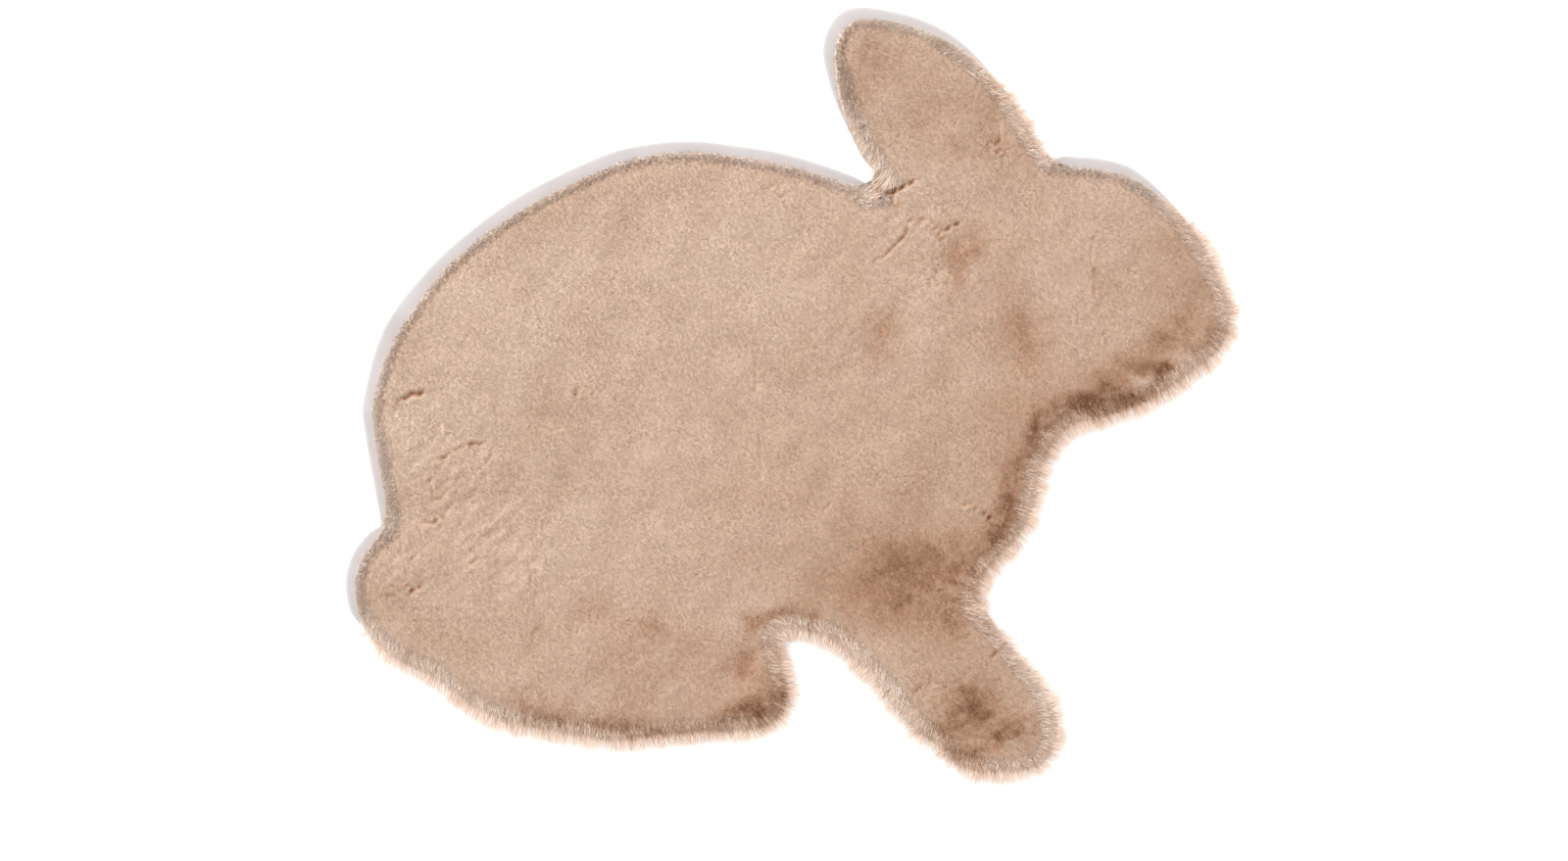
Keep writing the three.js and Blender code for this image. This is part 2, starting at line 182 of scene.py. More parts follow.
# Broad places where the fur looks a little darker (or lighter, negative)
WASHES = [
    Wash("chin", 337, 16, 75, 28, 27, 0.13),
    Wash("chest edge", 219, -106, 65, 18, 68, 0.09),
    Wash("chest", 130, -174, 88, 59, 25, 0.06),
    Wash("foreleg", 170, -292, 69, 59, -50, 0.06),
    Wash("belly edge", -125, -326, 118, 24, -2, 0.06),
    Wash("foot", -42, -297, 49, 39, 30, 0.07),
    Wash("neck left", 128, 136, 16, 12, 0, 0.05),
    Wash("shoulder line", 52, 24, 22, 10, 30, 0.05),
    Wash("throat low", 229, 20, 60, 40, 95, 0.09),
    Wash("cheek", 314, 125, 31, 15, 95, 0.04),
    Wash("muzzle", 376, 120, 61, 45, 100, 0.08),
    Wash("ear", 130, 302, 88, 43, -50, 0.05),
    Wash("ear left", 64, 302, 29, 13, -70, 0.06),
    Wash("ear low", 199, 258, 31, 16, -60, 0.04),
    Wash("lower flank", 32, -135, 147, 88, 10, 0.05),
    Wash("foreleg top", 60, -206, 71, 28, -15, 0.05),
    Wash("belly left", -192, -221, 26, 18, -30, 0.05),
    Wash("tail", -408, -194, 29, 18, 20, 0.04),
    Wash("by the tail", -371, -243, 53, 28, -35, 0.04),
    Wash("rump low", -350, -110, 59, 39, -40, 0.035),
    Wash("muzzle front", 412, 116, 62, 30, -75, 0.09),
    Wash("belly", -145, -263, 90, 44, -5, 0.055),
    Wash("ear right", 194, 301, 70, 22, -50, 0.05),
    Wash("front", 189, 2, 270, 170, -80, 0.045),
    Wash("cheek light", 260, 120, 43, 35, 90, -0.03),
    Wash("back light", -90, 150, 147, 61, 10, -0.045),
    Wash("rump light", -320, 59, 118, 61, 50, -0.06),
    Wash("rump edge light", -386, -57, 43, 26, 100, -0.04),
    Wash("throat light", 199, 26, 29, 20, 60, -0.05),
    Wash("foreleg left light", 98, -300, 70, 20, -46, -0.05),
    Wash("paw right light", 258, -318, 22, 50, -8, -0.06),
    Wash("chest rim light", 240, -128, 14, 50, 0, -0.05),
    Wash("neck light", 229, 170, 43, 29, 60, 0.03),
]

# Places where the nap lies another way and shows its darker roots, partly as painted shade
# of the pile's depths, with flecked borders: how dark, and how far the nap swings in degrees
PATCHES = [
    Patch("chin corner", 286, -12, 18, 11, 25, 0.34, 0),
    Patch("chin", 302, -4, 20, 8, 12, 0.24, -25),
    Patch("chin rise", 317, 13, 16, 9, -10, 0.26, 20),
    Patch("chin front", 337, 0, 24, 8, 10, 0.27, -30),
    Patch("chin tip", 370, 29, 15, 8, -10, 0.3, 25),
    Patch("chin top", 345, 33, 20, 5, -5, 0.13, 40),
    Patch("chin swirl", 347, 21, 13, 5, 10, -0.2, 60),
    Patch("chin end", 359, 14, 14, 7, 50, 0.22, 20),
    Patch("lip", 378, 66, 26, 14, 20, 0.17, 0),
    Patch("lip front", 415, 58, 16, 8, 20, 0.18, 0),
    Patch("jaw", 260, -29, 16, 9, 45, 0.14, 0),
    Patch("throat edge", 243, -44, 15, 8, 60, 0.3, 20),
    Patch("chest edge top", 224, -82, 22, 9, 70, 0.22, 0),
    Patch("chest edge", 212, -124, 18, 10, 60, 0.28, 20),
    Patch("chest edge low", 206, -145, 13, 8, 45, 0.2, 20),
    Patch("chest", 140, -186, 57, 41, 15, 0.2, -25),
    Patch("chest left", 103, -171, 24, 11, 50, 0.1, 0),
    Patch("chest right", 175, -173, 22, 15, 40, 0.1, 20),
    Patch("chest foot", 152, -228, 23, 13, -50, 0.12, 0),
    Patch("chest lower left", 99, -206, 24, 10, -30, 0.1, 0),
    Patch("chest upper", 168, -145, 31, 14, 20, 0.08, 0),
    Patch("paw", 191, -331, 51, 32, -20, 0.22, 35),
    Patch("paw top", 187, -309, 19, 9, -40, 0.14, 0),
    Patch("paw left", 155, -328, 13, 10, 40, 0.18, 0),
    Patch("paw right", 230, -338, 21, 9, 30, 0.2, 0),
    Patch("paw low", 175, -354, 17, 9, 10, 0.16, 0),
    Patch("paw middle", 192, -334, 12, 8, 0, -0.1, 30),
    Patch("heel", -50, -270, 16, 9, 40, 0.22, -20),
    Patch("sole", -48, -316, 21, 10, 10, 0.16, 30),
    Patch("foot", -28, -304, 27, 19, 40, 0.22, 30),
    Patch("toe", -16, -296, 15, 11, 60, 0.1, 0),
    Patch("foot edge", -66, -325, 49, 9, 3, 0.16, 0),
    Patch("belly edge", -145, -331, 41, 9, -4, 0.16, 0),
    Patch("belly edge left", -196, -326, 33, 9, -10, 0.17, 0),
    Patch("haunch edge", -248, -317, 24, 9, -22, 0.14, 0),
    Patch("haunch spot", -272, -313, 11, 8, -50, 0.16, 0),
    Patch("notch", -40, -235, 13, 8, 40, 0.18, 0),
    Patch("notch top", -25, -223, 13, 7, 30, 0.12, 0),
    Patch("notch right", -4, -214, 14, 9, 20, 0.18, 0),
    Patch("notch end", 20, -219, 11, 8, 80, 0.12, 0),
    Patch("belly", -140, -235, 29, 14, -20, 0.08, 15),
    Patch("neck", 180, 148, 24, 18, 30, 0.11, -20),
    Patch("neck low", 166, 119, 24, 12, 75, 0.1, 0),
    Patch("shoulder", 94, 58, 26, 15, 55, 0.1, -20),
    Patch("throat", 235, 57, 38, 22, 100, 0.08, 15),
    Patch("ear tip", 81, 345, 33, 22, 60, 0.09, 20),
]

# Zones where the pile is rumpled into small folds, in the same columns. The rise is the height
# of the folds.
RUMPLES = [
    Form("rump", -350, -76, 66, 48, -60, 1.6),
    Form("flank", -285, -160, 62, 42, -50, 1.3),
    Form("tail", -392, -186, 38, 26, 10, 1.3),
    Form("below the ear", 125, 158, 62, 34, -45, 1.3),
    Form("shoulder", 70, 60, 50, 40, 50, 0.8),
    Form("back", -18, 205, 22, 14, 40, 0.9),
    Form("paw", 150, -300, 50, 34, -40, 0.9),
    Form("belly", -110, -270, 80, 30, 0, 0.7),
    Form("ear", 200, 250, 20, 44, 20, 0.8),
    Form("cheek", 305, 110, 18, 66, 0, 0.7),
]

# Partings and small folds, where the pile opens along a line: half-width, depth and route
CREASES = [
    Crease("ear root", 6, 6, [(88, 205), (95, 202), (103, 203)]),
    Crease("ear root left", 3, 3, [(79, 211), (88, 205)]),
    Crease("ear root line", 3.5, 5, [(103, 203), (110, 207), (124, 214)]),
    Crease("ear root fold", 3, 4, [(104, 197), (106, 190)]),
    Crease("below the ear", 3, 4, [(120, 175), (116, 164), (109, 153), (94, 138), (85, 134)]),
    Crease("beside it", 2.5, 2, [(122, 122), (118, 118)]),
    Crease("behind the ear", 3, 4, [(128, 176), (136, 173), (149, 162), (156, 152)]),
    Crease("behind, lower", 2.8, 4, [(155, 165), (162, 169), (169, 172)]),
    Crease("below, far", 2.4, 2, [(160, 119), (159, 108)]),
    Crease("below, right", 2.4, 2.5, [(141, 116), (139, 107)]),
    Crease("ear right", 2.6, 3, [(211, 275), (210, 258), (206, 248), (214, 238)]),
    Crease("ear left", 2.4, 2.5, [(66, 265), (76, 270)]),
    Crease("ear joint", 4, 5, [(264, 243), (272, 231)]),
    Crease("rump corner", 3, 4, [(-397, -21), (-395, -11), (-393, -4), (-387, -5), (-382, 0)]),
    Crease("rump corner end", 5, 5, [(-383, -1), (-376, -1), (-370, 1)]),
    Crease("rump short", 2.6, 3, [(-351, -29), (-350, -40)]),
    Crease("rump wave", 2.8, 3.5, [(-356, -65), (-346, -63), (-340, -58), (-327, -52)]),
    Crease("rump wave right", 2.8, 3.5, [(-324, -50), (-310, -51)]),
    Crease("rump low", 3, 3, [(-315, -77), (-307, -71), (-301, -63)]),
    Crease("rump lump", 3, 3, [(-362, -86), (-359, -95)]),
    Crease("rump lump low", 3, 3.5, [(-358, -106), (-351, -105), (-346, -101)]),
    Crease("flank curl", 3.4, 4, [(-373, -131), (-361, -130), (-351, -125), (-344, -116)]),
    Crease("tail", 3.2, 4, [(-390, -190), (-381, -198), (-374, -194), (-371, -190)]),
    Crease("tail edge", 2.4, 3, [(-405, -202), (-398, -203)]),
    Crease("tail top", 2.2, 2, [(-381, -165), (-376, -162)]),
    Crease("haunch", 2.8, 3, [(-322, -172), (-315, -166)]),
    Crease("dimple", 3, 3.5, [(-258, -239), (-253, -233)]),
    Crease("haunch line", 2.2, 1.5, [(-263, -155), (-262, -174), (-261, -192)]),
    Crease("back nick", 2.4, 3, [(-22, 206), (-17, 210), (-13, 214)]),
    Crease("back nick right", 2, 2, [(-15, 197), (-6, 200)]),
    Crease("flank line", 2, 1.2, [(-39, 101), (-35, 22), (-31, -47), (-27, -111)]),
    Crease("chest", 3, 4, [(170, -113), (178, -111), (186, -116), (195, -120), (201, -125)]),
    Crease("shoulder nick", 2.2, 2, [(101, -104), (111, -101)]),
    Crease("shoulder short", 2.4, 2.5, [(33, -117), (40, -109)]),
    Crease("foreleg", 3, 2.5, [(199, -265), (209, -256), (223, -243)]),
    Crease("foreleg nick", 2.2, 2, [(173, -245), (180, -241)]),
    Crease("paw hook", 2.4, 2, [(126, -299), (127, -295), (132, -291)]),
    Crease("paw nick", 2.4, 2.5, [(111, -329), (117, -326)]),
    Crease("leg nick", 2.2, 2, [(65, -238), (67, -233)]),
    Crease("cheek", 2.4, 2.2, [(304, 160), (302, 145), (306, 101)]),
    Crease("cheek low", 2.4, 2.5, [(315, 63), (310, 52)]),
    Crease("spot high", 3, 2.2, [(-215, 0), (-213, 5)]),
    Crease("spot low", 2, 2, [(-216, 5), (-214, 1)]),
]

random = np.random.default_rng(7)


# Curves and fields over the floor


def smooth_curve(points, per_step=24):
    """Points along the smooth curve through these points, without the last one."""
    known = np.array(points, float)
    padded = np.vstack([known[:1], known, known[-1:]])
    before, start, end, after = padded[:-3], padded[1:-2], padded[2:-1], padded[3:]
    t = np.arange(per_step)[None, :, None] / per_step
    lean_in, lean_out = (end - before) / 2, (after - start) / 2
    before, start, end, after = (p[:, None] for p in (before, start, end, after))
    lean_in, lean_out = lean_in[:, None], lean_out[:, None]
    cubic = 2 * start - 2 * end + lean_in + lean_out
    square = -3 * start + 3 * end - 2 * lean_in - lean_out
    return (cubic * t**3 + square * t**2 + lean_in * t + start).reshape(-1, 2)


def evenly(points, spacing):
    """The closed loop through these points, with its points evenly spaced."""
    loop = np.vstack([points, points[:1]])
    travel = np.append(0, np.cumsum(np.hypot(*np.diff(loop, axis=0).T)))
    wanted = np.linspace(0, travel[-1], round(travel[-1] / spacing), endpoint=False)
    return np.column_stack([np.interp(wanted, travel, loop[:, k]) for k in (0, 1)])


def loop_normals(loop):
    """The outward normal at each point of a counter-clockwise loop."""
    along = np.roll(loop, -1, axis=0) - np.roll(loop, 1, axis=0)
    outward = np.column_stack([along[:, 1], -along[:, 0]])
    return outward / np.hypot(*outward.T)[:, None]


def eased(value, low, high):
    """0 below low, 1 above high and smooth between them."""
    share = np.clip((value - low) / (high - low), 0, 1)
    return share * share * (3 - 2 * share)


class Field:
    """Values on a square grid over the floor, read in between."""

    def __init__(self, low, step, values):
        self.low = np.array(low)
        self.step = step
        self.values = values

    def at(self, places, smooth=False):
        """The values at these places, with or without corners at the grid's lines."""
        cell = (places - self.low) / self.step
        corner = np.clip(np.floor(cell).astype(int), 0, np.array(self.values.shape) - 2)
        share = np.clip(cell - corner, 0, 1)
        if smooth:
            share = share * share * (3 - 2 * share)
        (i, j), (u, v) = corner.T, share.T
        near = self.values[i, j] * (1 - v) + self.values[i, j + 1] * v
        far = self.values[i + 1, j] * (1 - v) + self.values[i + 1, j + 1] * v
        return near * (1 - u) + far * u


def soft_noise(places, pitch, seed):
    """Smooth noise from -1 to 1 with features about one pitch wide."""
    size = int(1400 / pitch) + 3
    values = np.random.default_rng(seed).uniform(-1, 1, (size, size))
    return Field((-700, -700), pitch, values).at(places, smooth=True)


def turned(ways, angle):
    """These directions, each turned to the left by its angle in radians."""
    return np.column_stack([
        ways[..., 0] * np.cos(angle) - ways[..., 1] * np.sin(angle),
        ways[..., 0] * np.sin(angle) + ways[..., 1] * np.cos(angle),
    ])


def bell(places, oval):
    """1 in the middle of a turned oval, falling off smoothly."""
    turn = math.radians(oval.turn)
    away = places - (oval.x, oval.y)
    u = away @ (math.cos(turn), math.sin(turn))
    v = away @ (-math.sin(turn), math.cos(turn))
    return np.exp(-((u / oval.along) ** 2) - (v / oval.across) ** 2)


def depth_field(rim, step=3.0, margin=24.0):
    """How far inside the rim each place lies, negative outside it, less the bare spots."""
    low, high = rim.min(0) - margin, rim.max(0) + margin
    xs = np.arange(low[0], high[0], step)
    ys = np.arange(low[1], high[1], step)
    (x0, y0), (x1, y1) = rim.T, np.roll(rim, -1, axis=0).T
    values = np.empty((len(xs), len(ys)))
    for j, y in enumerate(ys):
        apart = np.hypot(xs[:, None] - x0, y - y0).min(1)
        cuts = (y0 > y) != (y1 > y)
        at = x0[cuts] + (y - y0[cuts]) * (x1[cuts] - x0[cuts]) / (y1[cuts] - y0[cuts])
        inside = (xs[:, None] < at).sum(1) % 2 == 1
        values[:, j] = np.where(inside, apart, -apart)
        row = np.column_stack([xs, np.full(len(xs), y)])
        for spot in BARE_SPOTS:
            values[:, j] -= spot.rise * bell(row, spot)
    return Field(low, step, values)


RIM = evenly(np.vstack([smooth_curve(points) for points in OUTLINE.values()]), spacing=2.0)
DEPTH = depth_field(RIM)


def outward_at(places):
    """The way out to the nearest rim."""
    reach = 3.0
    slope = [
        DEPTH.at(places - reach * step) - DEPTH.at(places + reach * step) for step in np.eye(2)
    ]
    slope = np.column_stack(slope)
    return slope / np.maximum(np.hypot(*slope.T), 1e-6)[:, None]


def crease_at(places, crease):
    """How close each place is to a crease, from 0 to 1, and the way from the crease to it."""
    route = np.array(crease.route, float)
    close = np.zeros(len(places))
    push = np.zeros_like(places)
    reach = 3 * crease.wide
    low, high = route.min(0) - reach, route.max(0) + reach
    near = np.flatnonzero(((places > low) & (places < high)).all(1))
    best = np.full(len(near), np.inf)
    for start, end in zip(route[:-1], route[1:]):
        run = end - start
        share = np.clip((places[near] - start) @ run / (run @ run), 0, 1)
        away = places[near] - start - share[:, None] * run
        apart = np.hypot(*away.T)
        nearer = apart < best
        best[nearer] = apart[nearer]
        push[near[nearer]] = away[nearer] / np.maximum(apart[nearer], 0.3)[:, None]
    close[near] = np.exp(-((best / (CREASE_SPAN * crease.wide)) ** 2))
    return close * (0.7 + 0.3 * soft_noise(places, 5, 9)), push


def wandered(places, pitch, amount, seed):
    """The places, each moved a little by slow noise, so that what is drawn there has an uneven
    border."""
    moves = [soft_noise(places, pitch, seed + k) for k in (0, 1)]
    return places + amount * np.column_stack(moves)


def field_over_rug(values_at):
    """These values on a fine grid, which is quicker to read than to work out for each fibre."""
    low, high = RIM.min(0) - FIELD_MARGIN, RIM.max(0) + FIELD_MARGIN
    xs, ys = (np.arange(low[k], high[k], FIELD_STEP) for k in (0, 1))
    places = np.stack(np.meshgrid(xs, ys, indexing="ij"), -1)
    values = values_at(places.reshape(-1, 2)).reshape(places.shape[:2])
    return Field(low, FIELD_STEP, values)


def pile_top(places):
    """The height of the pile's tips."""
    height = PILE_TOP + 0.9 * soft_noise(places, 70, 1) + 0.8 * soft_noise(places, 24, 2)
    for form in FORMS:
        height += form.rise * bell(places, form)
    # The folds run across the nap and are twice as long as they are wide.
    folds = np.column_stack([places @ (0.77, 0.64) * 0.5, places @ (-0.64, 0.77)])
    folds = soft_noise(folds, 7, 10) + 0.5 * soft_noise(folds, 3.5, 12)
    for zone in RUMPLES:
        height += FOLD_SHARE * zone.rise * bell(places, zone) * folds
    for crease in CREASES:
        height -= FOLD_SHARE * crease.deep * crease_at(places, crease)[0]
    return height


RELIEF = field_over_rug(pile_top)


def flecks_with_painted_shade(places):
    """How dark the flecks are: the pile's darker roots, partly as painted shade of its depths."""
    uneven = wandered(wandered(places, 34, 9, 31), 11, 5, 33)
    fleck = np.zeros(len(places))
    for patch in PATCHES:
        fleck += patch.dark * bell(uneven, patch)
    fleck = FLECK_LIMIT * np.tanh(FLECK_GAIN * fleck / FLECK_LIMIT)
    return fleck * (1 + 0.42 * soft_noise(places, 9, 8) + 0.36 * soft_noise(places, 4, 14))


# Flecks of the pile's darker roots, partly painted shade of its depths
FLECKS = field_over_rug(flecks_with_painted_shade)


def pile_tone_and_painted_shade(places):
    """How dark the pile is: tone, washes, flecks, and painted shade in creases and on slopes."""
    dark = 0.03 * soft_noise(places, 110, 3) + 0.03 * soft_noise(places, 38, 4)
    dark += 0.012 * soft_noise(places, 14, 13)
    for wash in WASHES:
        dark += wash.dark * bell(places, wash)
    # Painted shade along the creases, where the pile opens
    for crease in CREASES:
        close, _ = crease_at(places, crease)
        dark += PAINTED_CREASE_SHADE * crease.deep * close**2
    # Painted shade and light: fur that slopes away from the key light is drawn darker, and fur
    # that slopes toward it paler.
    reach = 1.2
    step = reach * KEY_SIDE
    slope = (RELIEF.at(places + step) - RELIEF.at(places - step)) / (2 * reach)
    return dark + PAINTED_SLOPE_SHADE * np.tanh(slope / 0.5) + FLECKS.at(places)


TONE_AND_PAINTED_SHADE = field_over_rug(pile_tone_and_painted_shade)


def streak_at(places):
    """Light and dark streaks that run straight in from the rim, from -1 to 1."""
    foot = places + outward_at(places) * DEPTH.at(places)[:, None]
    return soft_noise(foot + 0.15 * places, 2.6, 23)


def facing_at(places):
    """How far the rim nearest to each place faces the way the pile leans, from 0 to 1."""
    return eased(outward_at(places) @ NAP, -0.4, 0.6)


def lean_at(places):
    """The way the pile's tips lean, seen from above, and how far, from 0 for upright to 1."""
    swing = 20 * soft_noise(places, 95, 5) + 14 * soft_noise(places, 30, 6)
    swing += 9 * soft_noise(places, 7, 7)
    for patch in PATCHES:
        swing += patch.swing * bell(places, patch)
    lean = LEVEL_LEAN * turned(NAP, np.radians(swing))
    for crease in CREASES:
        close, push = crease_at(places, crease)
        lean += CREASE_LEAN * push * close[:, None]
    # Near its rim the pile leans straight out.
    facing = facing_at(places)
    near_rim = 1 - eased(DEPTH.at(places), BARE_RIM, BARE_RIM + 22 + 12 * facing)
    outward = outward_at(places) * (0.5 + 0.9 * facing)[:, None]
    lean += near_rim[:, None] * (outward - 0.6 * lean)
    return lean / np.maximum(np.hypot(*lean.T), 1)[:, None]


def bed_height(places, height):
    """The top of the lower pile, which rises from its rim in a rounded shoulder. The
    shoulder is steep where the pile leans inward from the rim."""
    width = SHOULDER * (INWARD_SHOULDER + (1 - INWARD_SHOULDER) * facing_at(places))
    share = np.clip((DEPTH.at(places) - BARE_RIM) / width, 0, 1)
    rise = np.sqrt(np.maximum(1 - (1 - share) ** 2, 0))
    foot = GROUND_LEVEL + GROUND_THICKNESS
    return foot + (height * BED_SHARE - foot) * rise


# Meshes


def mesh_object(name, vertices, faces, sides):
    """A smooth mesh from vertices in millimetres and a flat list of corners, with each face's
    number of corners."""
    mesh = bpy.data.meshes.new(name)
    mesh.vertices.add(len(vertices))
    mesh.vertices.foreach_set("co", (np.asarray(vertices, np.float32) * MM).ravel())
    mesh.loops.add(len(faces))
    mesh.loops.foreach_set("vertex_index", np.asarray(faces, np.int32))
    mesh.polygons.add(len(sides))
    starts = np.append(0, np.cumsum(sides)[:-1])
    mesh.polygons.foreach_set("loop_start", starts.astype(np.int32))
    mesh.polygons.foreach_set("use_smooth", np.full(len(sides), True))
    mesh.update(calc_edges=True)
    mesh.validate()
    piece = bpy.data.objects.new(name, mesh)
    bpy.context.scene.collection.objects.link(piece)
    return piece


def lay_flat_map(piece):
    """A map that sees the piece from straight above, for its colours, which hang on the place."""
    mesh = piece.data
    corners = np.empty(len(mesh.loops), np.int32)
    mesh.loops.foreach_get("vertex_index", corners)
    places = np.empty(len(mesh.vertices) * 3, np.float32)
    mesh.vertices.foreach_get("co", places)
    flat = places.reshape(-1, 3)[:, :2]
    low, high = flat.min(0), flat.max(0)
    margin = 0.01
    seen = margin + (1 - 2 * margin) * (flat - low) / (high - low).max()
    mesh.uv_layers.new(name="OFBake").uv.foreach_set("vector", seen[corners].ravel())


def pile_normals(places, lean):
    """The way that the pile faces as a whole, which gives its fibres their light."""
    reach = 2.0
    slope = [RELIEF.at(places + reach * s) - RELIEF.at(places - reach * s) for s in np.eye(2)]
    level = -np.column_stack(slope) / (2 * reach) + LEAN_TILT * lean
    level += random.normal(0, NORMAL_SPREAD, level.shape)
    normals = np.column_stack([level, np.ones(len(places))])
    return normals / np.linalg.norm(normals, axis=1)[:, None]


def give_normals(piece, normals):
    """Sets the way that the piece faces at each of its vertices."""
    layer = piece.data.attributes.new("custom_normal", "FLOAT_VECTOR", "POINT")
    layer.data.foreach_set("vector", np.asarray(normals, np.float32).ravel())


def give_values(piece, name, values):
    """Gives each vertex of the piece a value that its material reads by this name."""
    layer = piece.data.attributes.new(name, "FLOAT", "POINT")
    layer.data.foreach_set("value", np.asarray(values, np.float32))


def slab(name, rim, low, high, rounding, border):
    """A closed flat sheet inside a rim, with rounded edges. Its value "edge" fades from 1 at the
    rim to 0 past the border, and the backing's material paints its border paler with it, as
    painted light."""
    normals = loop_normals(rim)
    rings = [
        (rounding, low), (0, low + rounding), (0, high - rounding), (rounding, high),
        (border, high),
    ]
    count = len(rim)
    vertices = np.vstack([
        np.column_stack([rim - normals * inset, np.full(count, level)]) for inset, level in rings
    ])
    faces, sides = [], []
    for ring in range(len(rings) - 1):
        here = ring * count + np.arange(count)
        ahead = ring * count + (np.arange(count) + 1) % count
        faces.append(np.column_stack([here, ahead, ahead + count, here + count]).ravel())
        sides += [4] * count
    top = (len(rings) - 1) * count
    faces += [np.arange(count)[::-1], top + np.arange(count)]
    sides += [count, count]
    piece = mesh_object(name, vertices, np.concatenate(faces), np.array(sides))
    give_values(piece, "edge", np.repeat([1, 1, 1, 0.85, 0], count))
    return piece


def pile_bed(step=4.6):
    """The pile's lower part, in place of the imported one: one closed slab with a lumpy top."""
    low, high = RIM.min(0), RIM.max(0)
    xs = np.arange(low[0], high[0] + step, step)
    ys = np.arange(low[1], high[1] + step, step)
    places = np.stack(np.meshgrid(xs, ys, indexing="ij"), -1)
    columns, rows = places.shape[:2]
    places = places.reshape(-1, 2)
    depth = DEPTH.at(places)
    number = np.arange(columns * rows).reshape(columns, rows)
    quads = np.stack([number[:-1, :-1], number[1:, :-1], number[1:, 1:], number[:-1, 1:]], -1)
    quads = quads.reshape(-1, 4)
    quads = quads[(depth[quads] > BARE_RIM).any(1)]

    # Corners past the rim of the fur cloth are drawn back onto it.
    past = depth < BARE_RIM
    for _ in range(3):
        short = np.maximum(BARE_RIM - DEPTH.at(places), 0) * past
        places = places - outward_at(places) * short[:, None]

    used, quads = np.unique(quads, return_inverse=True)
    quads = quads.reshape(-1, 4)
    places = places[used]
    top = np.column_stack([places, bed_height(places, RELIEF.at(places))])
    bottom = np.column_stack([places, np.full(len(places), GROUND_LEVEL)])

    edges = np.concatenate([quads[:, [k, (k + 1) % 4]] for k in range(4)])
    _, first, times = np.unique(np.sort(edges, 1), axis=0, return_index=True, return_counts=True)
    border = edges[first[times == 1]]
    count = len(places)
    start, end = border.T
    walls = np.column_stack([end, start, start + count, end + count])
    faces = np.vstack([quads, quads[:, ::-1] + count, walls])
    sides = np.full(len(faces), 4)
    piece = mesh_object("pile_bed", np.vstack([top, bottom]), faces.ravel(), sides)
    # Painted light on the steep shoulder, where the pile leans inward
    steep = 1 - eased(DEPTH.at(places), BARE_RIM, BARE_RIM + STEEP_WIDTH)
    dark = TONE_AND_PAINTED_SHADE.at(places) - RIM_LIGHT * steep * (1 - facing_at(places))
    give_values(piece, "shade", BED_SHADE - np.concatenate([dark, dark]))
    return piece


def tufts_over(pitch, least_depth):
    """Middles of the tufts, in rows across the ground cloth with small jitter."""
    low, high = RIM.min(0), RIM.max(0)
    xs = np.arange(low[0], high[0], pitch)
    ys = np.arange(low[1], high[1], pitch)
    middles = np.stack(np.meshgrid(xs, ys, indexing="ij"), -1)
    middles[:, 1::2, 0] += pitch / 2
    row = np.tile(np.arange(len(ys)), len(xs))
    middles = middles.reshape(-1, 2)
    middles += random.uniform(-1, 1, middles.shape) * (0.32 * pitch, 0.2 * pitch)
    inside = DEPTH.at(middles) > least_depth
    return middles[inside], row[inside]


def crosswise(lean, twist):
    """The direction of each fibre's width, level and across its lean, then twisted."""
    across = np.column_stack([-lean[:, 1], lean[:, 0], np.zeros(len(lean))])
    across /= np.maximum(np.hypot(*lean.T), 1e-6)[:, None]
    return across * np.cos(twist)[:, None] + np.array([0, 0, 1.0]) * np.sin(twist)[:, None]


def chance_shade(tones, fleck):
    """Shades by chance, which differ more where the pile is flecked."""
    plain, flecked = tones
    return random.normal(0, 1, len(fleck)) * (plain + flecked * fleck)


def short_fibres(per_tuft, extra_at_rim):
    """Straight fibres that stand out of the pile bed: roots, tips, widths, leans and shades."""
    tufts, row = tufts_over(TUFT_PITCH, BARE_RIM + 0.6)
    depth = DEPTH.at(tufts)
    lean = lean_at(tufts)
    fleck = FLECKS.at(tufts)
    facing = facing_at(tufts)
    near_rim = 1 - eased(depth, BARE_RIM + 2, BARE_RIM + 32)
    lift = random.normal(0, 0.2, len(tufts))

    # The shade of each tuft: by chance, in streaks near the rim, in pinpricks of painted shade
    # and by its row
    tone = chance_shade(TUFT_TONES, fleck)
    tone += STREAK_SHADE * near_rim * (0.3 + 0.7 * facing) * streak_at(tufts)
    tone -= PINPRICK_PAINTED_SHADE * (random.random(len(tufts)) < PINPRICK_SHARE)
    row_tone = random.normal(0, ROW_TONE, row.max() + 1)
    tone += row_tone[row] * (0.5 + soft_noise(tufts, 60, 15))

    travel = FIBRE_TRAVEL + 0.7 * soft_noise(tufts, 20, 11) + random.normal(0, 0.4, len(tufts))
    travel += near_rim * (0.6 + RIM_TRAVEL * facing)
    fibres = np.where(depth < BARE_RIM + DENSE_BAND, per_tuft + extra_at_rim, per_tuft)
    own = np.repeat(np.arange(len(tufts)), fibres)

    spread = random.normal(0, TUFT_SPREAD, (len(own), 2)) * TUFT_PITCH
    roots = tufts[own] + spread
    inside = DEPTH.at(roots) > BARE_RIM + 0.3
    own, spread, roots = own[inside], spread[inside], roots[inside]
    height = RELIEF.at(roots)
    bed = bed_height(roots, height)
    shoulder = eased(depth[own], BARE_RIM, BARE_RIM + SHOULDER)
    above = height * (1 - BED_SHARE + 0.1 * (1 - shoulder))
    # Where the pile leans out at its rim, its fibres differ in length, so it fades outward.
    thinning = 1 - RIM_THINNING * (near_rim * facing)[own] * random.random(len(own))
    tips = tufts[own] + spread * 0.85 + lean[own] * (travel[own] * thinning)[:, None]
    tips += random.normal(0, 0.35, tips.shape)
    level = bed + above + lift[own] + random.normal(0, 0.3, len(own))
    shade = tone[own] - TONE_AND_PAINTED_SHADE.at(roots) + chance_shade(FIBRE_TONES, fleck[own])
    # Painted light on the steep rim, where the pile leans inward
    shade += RIM_LIGHT * (1 - shoulder) * (1 - facing_at(roots))
    roots = np.column_stack([roots, bed - 0.2])
    tips = np.column_stack([tips, np.maximum(level, GROUND_LEVEL + 2 * GROUND_THICKNESS)])
    width = random.uniform(*FIBRE_WIDTHS, len(own))
    return roots, tips, width, lean[own], shade


